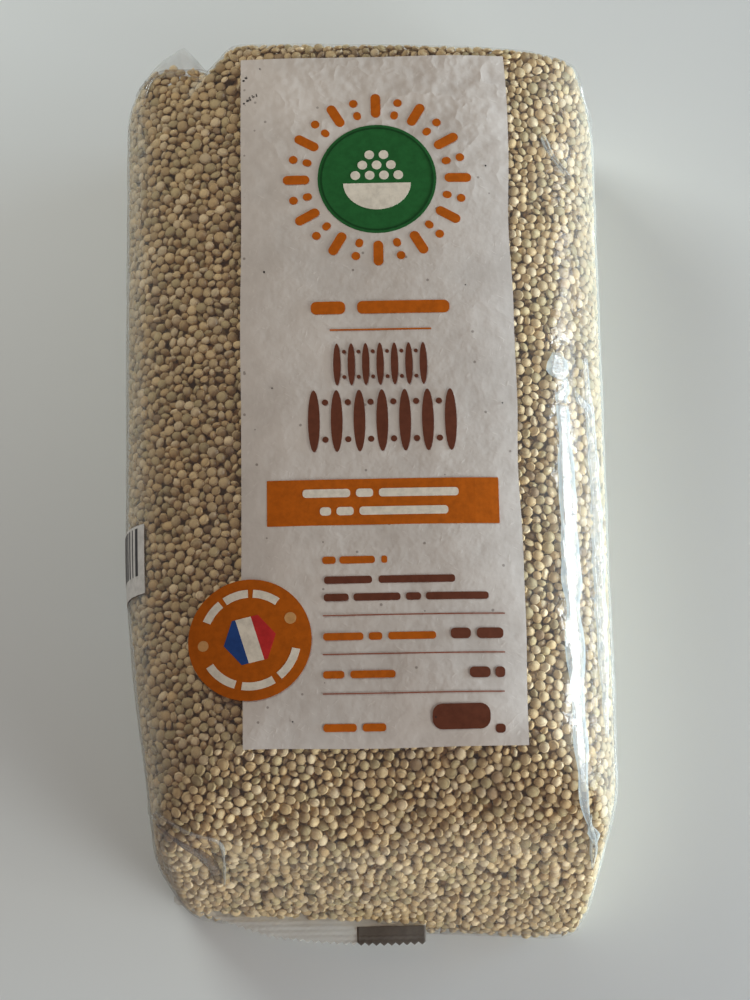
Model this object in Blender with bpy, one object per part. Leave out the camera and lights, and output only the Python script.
"""A sealed clear film bag of raw quinoa, lying on its back panel.

Metres, +Z up. X runs across the bag, Y along it towards the end shown at the top, and the
origin is on the surface that it lies on, under the middle of the whole pack.
"""

import math

import bmesh
import bpy
import numpy as np
from mathutils import Vector

MM = 0.001

# The filled body
HALF_WIDTH = 46.9 * MM
WIDTH_FLARE = 0.009  # how much wider each side gets per length towards the top end
THICKNESS = 48 * MM
MID_HEIGHT = THICKNESS / 2
FRONT_DOME = 2 * MM  # how much lower the front panel is near the ends than at the middle
DOME_LENGTH = 85 * MM
BELLY_DROP = 6 * MM  # how far the round back would bulge below the table that flattens it
ROUNDNESS = 3.6  # power of the cross-section: 2 is an ellipse and more is boxier
FOLD_RADIUS = 3 * MM  # where the panels fold over into the ends
CREASE_RADIUS = 1.5 * MM  # between two flat faces of the ends
FLAT_RADIUS = 1.5 * MM  # round the flat underside

# The bottom end, which leans out towards the table and twists, seen from the bag's middle
BOTTOM_REACH = 78.8 * MM
BOTTOM_LEAN = 0.27  # how far it falls back per height
BOTTOM_TURN = 0.011  # how far it comes forward per distance across
BOTTOM_TWIST = 0.00256 / MM  # how much more it leans per distance across
BOTTOM_ROLL = 30 * MM  # how far in the front panel starts to roll over into the middle of this end
BOTTOM_ROLL_REACH = 50 * MM  # to either side of the middle, where the roll has faded to a fold

# Flat faces of the two ends: the way each one faces, and how far it is from the middle
BOTTOM_FACES = (
    ((-0.989, -0.149, 0.0), 54.4 * MM),  # left corner, from the side to the middle
    ((-0.760, -0.650, 0.0), 80.9 * MM),
    ((-0.411, -0.912, 0.0), 90.2 * MM),
    ((0.905, -0.425, 0.0), 74.0 * MM),  # right corner
    ((-0.535, -0.777, 0.332), 83.5 * MM),  # the gusset folded in at the left
)
TOP_FACES = (
    ((0.031, 0.999, -0.03), 85.7 * MM),
    ((-0.758, 0.652, 0.0), 76.2 * MM),  # the step down to the ear
    ((0.930, 0.367, 0.0), 72.2 * MM),  # right corner
)
# The ear, where the left gusset stands out of the top end
EAR_FACES = (
    ((-0.659, 0.752, 0.0), 91.0 * MM),
    ((-0.810, 0.586, 0.0), 85.4 * MM),
    ((0.850, 0.527, 0.0), 17.6 * MM),
    ((0.0, 0.35, 0.937), 45.0 * MM),  # over the ear
    ((0.0, 0.447, -0.894), 42.0 * MM),  # under it
)

# The crimped seal that stands out of each end, seen from the bag's middle
SEAL_THICKNESS = 0.7 * MM
SEAL_ROOT = 78 * MM
SEAL_TOOTH_PITCH = 1.5 * MM
SEAL_TOOTH_DEPTH = 0.6 * MM
SEAL_BOW = 0.0035 / MM  # how its edge falls back, per square of the distance from its middle
BOTTOM_SEAL = {
    "low": -32 * MM,
    "high": 10 * MM,
    "middle": 3 * MM,
    "reach": 88.4 * MM,
    "height": 4.5 * MM,
    "side": -1,
}
TOP_SEAL = {
    "low": -21 * MM,
    "high": 21 * MM,
    "middle": 0.0,
    "reach": 88.4 * MM,
    "height": 12 * MM,
    "side": 1,
}

# The printed panels, each a thin skin on the film
SKIN_GAP = 0.3 * MM
SKIN_THICKNESS = 0.4 * MM
LABEL_LEFT = -23.4 * MM
LABEL_RIGHT = 28.9 * MM
LABEL_BOTTOM = -56.2 * MM
LABEL_TOP = 82.4 * MM
BADGE_CENTRE = (-21.9 * MM, -36.1 * MM)
BADGE_RADIUS = 11.4 * MM
BADGE_CLEARANCE = 0.3 * MM
CODE_LOW_Y = -25.3 * MM
CODE_HIGH_Y = -11.8 * MM
CODE_LOW_ANGLE = -26  # degrees above level, seen from the middle of the bag
CODE_HIGH_ANGLE = 22.5

# How finely the body is cut: cells across, along and through
BODY_CELLS = (22, 40, 11)
EDGE_CROWDING = 0.55  # 0 spaces the cuts evenly, and more crowds them towards the edges
LEAST_CELL = 0.022  # as a share of half the body
LABEL_ROWS, LABEL_COLUMNS = 30, 12
BADGE_RINGS, BADGE_SPOKES = 5, 48
CODE_ROWS, CODE_COLUMNS = 6, 12

# How film_along and film_normals look for the film
FURTHEST_FILM = 3 * HALF_WIDTH
HALVINGS = 40
NORMAL_STEP = 0.2 * MM

# Where creases meet, in millimetres from the bag's middle. Cuts go through these points.
CREASE_CORNERS = (
    (-25.3, 86.9, 20),  # where the top fold starts to step down to the ear
    (-30.0, 81.5, 16),  # the notch beside the ear
    (-35.3, 89.9, 15),  # the ear's tip
    (-42.6, 83.5, 13),
    (-46.8, 77.0, 8),
    (42.9, 84.8, 19),  # top right
    (46.6, 74.5, 10),
    (-26.2, -80.5, 20),  # the two ends of the fold over the gusset
    (-43.2, -68.8, 19),
    (-36.0, -82.4, -4),
    (39.1, -77.9, 19),  # bottom right
    (41.9, -86.9, -21),
)

HALF_SIZE = np.array([HALF_WIDTH, BOTTOM_REACH, MID_HEIGHT])

FILM_COLOUR = (0.52, 0.43, 0.29, 1.0)
PAPER_COLOUR = (0.50, 0.46, 0.42, 1.0)
BADGE_COLOUR = (0.50, 0.13, 0.02, 1.0)
CODE_COLOUR = (0.62, 0.60, 0.57, 1.0)
FILM_ROUGHNESS = 0.35
PAPER_ROUGHNESS = 0.6
PRINT_ROUGHNESS = 0.5


def clear_scene():
    for item in list(bpy.data.objects):
        bpy.data.objects.remove(item)


def rounded_max(first, second, radius):
    """The larger of two distances, with the edge between them rounded."""
    near = np.clip(radius - np.abs(first - second), 0, None)
    return np.maximum(first, second) + near**2 / (4 * radius)


def beyond_faces(points, faces):
    """How far the points are beyond the furthest of the flat faces."""
    furthest = np.full(len(points), -THICKNESS)  # as far inside as any point can be
    for normal, distance in faces:
        normal = np.array(normal) / np.linalg.norm(normal)
        furthest = rounded_max(furthest, points @ normal - distance, CREASE_RADIUS)
    return furthest


def beyond_film(points):
    """Under 0 inside the bag, 0 on its film and over 0 outside. Points are seen from its middle."""
    x, y, z = points.T
    front = MID_HEIGHT - FRONT_DOME * (y / DOME_LENGTH) ** 2
    half_height = np.where(z > 0, front, MID_HEIGHT + BELLY_DROP)
    half_width = HALF_WIDTH + WIDTH_FLARE * y
    around = (np.abs(x / half_width) ** ROUNDNESS + np.abs(z / half_height) ** ROUNDNESS) ** (
        1 / ROUNDNESS
    )
    panels = (around - 1) * MID_HEIGHT
    bottom_end = -y - BOTTOM_REACH + z * (BOTTOM_LEAN + BOTTOM_TWIST * x) - BOTTOM_TURN * x
    bottom_end = rounded_max(beyond_faces(points, BOTTOM_FACES), bottom_end, CREASE_RADIUS)
    top_end = np.minimum(beyond_faces(points, TOP_FACES), beyond_faces(points, EAR_FACES))
    roll = np.clip(1 + z / MID_HEIGHT, 0, 1) * np.clip(1 - (x / BOTTOM_ROLL_REACH) ** 2, 0, 1)
    fold = np.where(y < 0, FOLD_RADIUS + (BOTTOM_ROLL - FOLD_RADIUS) * roll, FOLD_RADIUS)
    body = rounded_max(panels, np.maximum(top_end, bottom_end), fold)
    return rounded_max(body, -z - MID_HEIGHT, FLAT_RADIUS)


def film_along(starts, directions):
    """Where lines from inside the bag meet its film, found by halving."""
    near = np.zeros(len(starts))
    far = np.full(len(starts), FURTHEST_FILM)
    for _ in range(HALVINGS):
        middle = (near + far) / 2
        outside = beyond_film(starts + directions * middle[:, None]) > 0
        far = np.where(outside, middle, far)
        near = np.where(outside, near, middle)
    return starts + directions * near[:, None]


def film_normals(points):
    """Unit vectors square to the film."""
    slopes = np.stack(
        [
            beyond_film(points + NORMAL_STEP * axis) - beyond_film(points - NORMAL_STEP * axis)
            for axis in np.eye(3)
        ],
        axis=1,
    )
    return slopes / np.linalg.norm(slopes, axis=1)[:, None]


def material(name, colour, roughness):
    made = bpy.data.materials.new(name)
    made.use_nodes = True
    shader = made.node_tree.nodes["Principled BSDF"]
    shader.inputs["Base Color"].default_value = colour
    shader.inputs["Roughness"].default_value = roughness
    shader.inputs["Metallic"].default_value = 0.0
    return made


def add_object(name, mesh_builder, finish):
    mesh = bpy.data.meshes.new(name)
    bmesh.ops.recalc_face_normals(mesh_builder, faces=mesh_builder.faces)
    mesh_builder.to_mesh(mesh)
    mesh_builder.free()
    made = bpy.data.objects.new(name, mesh)
    bpy.context.scene.collection.objects.link(made)
    mesh.materials.append(finish)
    mesh.shade_smooth()
    mesh.set_sharp_from_angle(angle=math.radians(40))
    return made


def cut_places(axis, cells):
    """Where the cuts across one axis go, from -1 to 1: through the corners, and between them."""
    even = np.linspace(-1, 1, cells + 1)[1:-1]
    spaced = even + EDGE_CROWDING * np.sin(math.pi * even) / math.pi
    corners = np.array(CREASE_CORNERS) * MM / HALF_SIZE
    corners /= np.abs(corners).max(1)[:, None]
    places = []
    for place in [*np.sort(corners[:, axis]), *spaced]:
        others = np.array([*places, -1.0, 1.0])
        if np.abs(others - place).min() > LEAST_CELL:
            places.append(place)
    return places


def body_mesh():
    """A box with loop cuts, each of its points moved out to the film."""
    build = bmesh.new()
    bmesh.ops.create_cube(build, size=2)
    for axis, cells in enumerate(BODY_CELLS):
        normal = [float(axis == other) for other in range(3)]
        for place in cut_places(axis, cells):
            bmesh.ops.bisect_plane(
                build,
                geom=build.verts[:] + build.edges[:] + build.faces[:],
                plane_co=[place * value for value in normal],
                plane_no=normal,
            )
    directions = np.array([vertex.co for vertex in build.verts]) * HALF_SIZE
    directions /= np.linalg.norm(directions, axis=1)[:, None]
    found = film_along(np.zeros_like(directions), directions)
    for vertex, place in zip(build.verts, found):
        vertex.co = Vector(place) + Vector((0, 0, MID_HEIGHT))
    return build


def seal_outline(low, high, middle, reach, side):
    """The outline of a crimped seal from above: a straight root and a bowed, toothed edge."""
    teeth = round((high - low) / SEAL_TOOTH_PITCH)
    edge = []
    for step in range(2 * teeth + 1):
        x = low + (high - low) * step / (2 * teeth)
        valley = SEAL_TOOTH_DEPTH * (step % 2 == 0)
        edge.append((x, side * (reach - SEAL_BOW * (x - middle) ** 2 - valley)))
    return edge + [(high, side * SEAL_ROOT), (low, side * SEAL_ROOT)]


def seal_mesh(low, high, middle, reach, height, side):
    build = bmesh.new()
    outline = seal_outline(low, high, middle, reach, side)
    face = build.faces.new([build.verts.new((x, y, height)) for x, y in outline])
    pushed = bmesh.ops.extrude_face_region(build, geom=[face])["geom"]
    raised = [part for part in pushed if isinstance(part, bmesh.types.BMVert)]
    bmesh.ops.translate(build, verts=raised, vec=(0, 0, SEAL_THICKNESS))
    return build


def join(target, others):
    """Fuses the others into the target by one Boolean union, and removes them."""
    group = bpy.data.collections.new("to_fuse")
    for other in others:
        group.objects.link(other)
    union = target.modifiers.new("fuse", "BOOLEAN")
    union.operation = "UNION"
    union.operand_type = "COLLECTION"
    union.collection = group
    union.solver = "EXACT"
    apply_modifiers(target)
    for other in others:
        bpy.data.objects.remove(other)
    bpy.data.collections.remove(group)


def apply_modifiers(target):
    evaluated = target.evaluated_get(bpy.context.evaluated_depsgraph_get())
    baked = bpy.data.meshes.new_from_object(evaluated)
    target.modifiers.clear()
    target.data = baked


def make_bag():
    film = material("bag_film", FILM_COLOUR, FILM_ROUGHNESS)
    bag = add_object("bag", body_mesh(), film)
    seals = [
        add_object(f"seal_{number}", seal_mesh(**seal), film)
        for number, seal in enumerate((BOTTOM_SEAL, TOP_SEAL))
    ]
    bpy.context.view_layer.update()
    join(bag, seals)
    return bag


def skin_mesh(starts, directions, faces, rim):
    """A thin skin on the film: a layer of faces on each side, closed along the rim."""
    surface = film_along(starts, directions)
    outward = film_normals(surface)
    lift = np.array([0, 0, MID_HEIGHT])
    build = bmesh.new()
    layers = []
    for offset in (SKIN_GAP, SKIN_GAP + SKIN_THICKNESS):
        layer = [build.verts.new(place) for place in surface + outward * offset + lift]
        for face in faces:
            build.faces.new([layer[corner] for corner in face])
        layers.append(layer)
    inner, outer = layers
    for here, there in zip(rim, rim[1:] + rim[:1]):
        build.faces.new([inner[here], inner[there], outer[there], outer[here]])
    return build


def grid_faces(rows, columns):
    """The corners of the faces of a grid of points, and of its rim."""
    faces = [
        (corner, corner + 1, corner + columns + 1, corner + columns)
        for row in range(rows - 1)
        for corner in range(row * columns, row * columns + columns - 1)
    ]
    last_row = (rows - 1) * columns
    rim = list(range(columns))
    rim += [row * columns + columns - 1 for row in range(1, rows)]
    rim += [last_row + column for column in range(columns - 2, -1, -1)]
    rim += [row * columns for row in range(rows - 2, 0, -1)]
    return faces, rim


def disc_faces(rings, spokes):
    """The corners of the faces of a centre point with rings of points round it, and of its rim."""
    faces = []
    for spoke in range(spokes):
        following = (spoke + 1) % spokes
        faces.append((0, 1 + spoke, 1 + following))
        for inner in range(1, 1 + (rings - 1) * spokes, spokes):
            outer = inner + spokes
            faces.append((inner + spoke, outer + spoke, outer + following, inner + following))
    last = 1 + (rings - 1) * spokes
    return faces, list(range(last, last + spokes))


def upward_rays(places):
    starts = np.array([(x, y, 0.0) for x, y in places])
    return starts, np.tile([0.0, 0.0, 1.0], (len(starts), 1))


def make_badge_bite():
    """A helper that cuts the badge's place out of the label."""
    radius = BADGE_RADIUS + BADGE_CLEARANCE
    build = bmesh.new()
    bmesh.ops.create_cone(
        build,
        cap_ends=True,
        segments=BADGE_SPOKES,
        radius1=radius,
        radius2=radius,
        depth=THICKNESS,
    )
    bmesh.ops.translate(build, verts=build.verts[:], vec=(*BADGE_CENTRE, THICKNESS))
    bite = add_object("badge_bite", build, material("helper", PAPER_COLOUR, PAPER_ROUGHNESS))
    bite.hide_render = True
    bite.display_type = "WIRE"
    return bite


def make_label():
    places = [
        (x, y)
        for y in np.linspace(LABEL_BOTTOM, LABEL_TOP, LABEL_ROWS)
        for x in np.linspace(LABEL_LEFT, LABEL_RIGHT, LABEL_COLUMNS)
    ]
    build = skin_mesh(*upward_rays(places), *grid_faces(LABEL_ROWS, LABEL_COLUMNS))
    paper = material("label_paper", PAPER_COLOUR, PAPER_ROUGHNESS)
    label = add_object("front_label", build, paper)
    cut = label.modifiers.new("badge_place", "BOOLEAN")
    cut.operation = "DIFFERENCE"
    cut.object = make_badge_bite()
    cut.solver = "EXACT"
    return label


def make_badge():
    places = [BADGE_CENTRE]
    for ring in range(1, BADGE_RINGS + 1):
        radius = BADGE_RADIUS * ring / BADGE_RINGS
        for spoke in range(BADGE_SPOKES):
            turn = 2 * math.pi * spoke / BADGE_SPOKES
            x = BADGE_CENTRE[0] + radius * math.cos(turn)
            places.append((x, BADGE_CENTRE[1] + radius * math.sin(turn)))
    build = skin_mesh(*upward_rays(places), *disc_faces(BADGE_RINGS, BADGE_SPOKES))
    return add_object("origin_badge", build, material("badge_orange", BADGE_COLOUR, PRINT_ROUGHNESS))


def make_code_panel():
    """The pale printed field that wraps round the left side."""
    angles = np.radians(np.linspace(CODE_LOW_ANGLE, CODE_HIGH_ANGLE, CODE_COLUMNS))
    places = [(y, a) for y in np.linspace(CODE_LOW_Y, CODE_HIGH_Y, CODE_ROWS) for a in angles]
    starts = np.array([(0.0, y, 0.0) for y, _ in places])
    directions = np.array([(-math.cos(a), 0.0, math.sin(a)) for _, a in places])
    build = skin_mesh(starts, directions, *grid_faces(CODE_ROWS, CODE_COLUMNS))
    return add_object("code_panel", build, material("code_paper", CODE_COLOUR, PRINT_ROUGHNESS))


def centre_on_origin(parts):
    """Moves everything so that the origin is under the middle of the whole pack."""
    bpy.context.view_layer.update()
    corners = np.array([part.matrix_world @ Vector(c) for part in parts for c in part.bound_box])
    middle = (corners.min(0) + corners.max(0)) / 2
    shift = Vector((-middle[0], -middle[1], -corners[:, 2].min()))
    for item in bpy.context.scene.objects:
        item.location += shift


clear_scene()
PARTS = [make_bag(), make_label(), make_badge(), make_code_panel()]
centre_on_origin(PARTS)
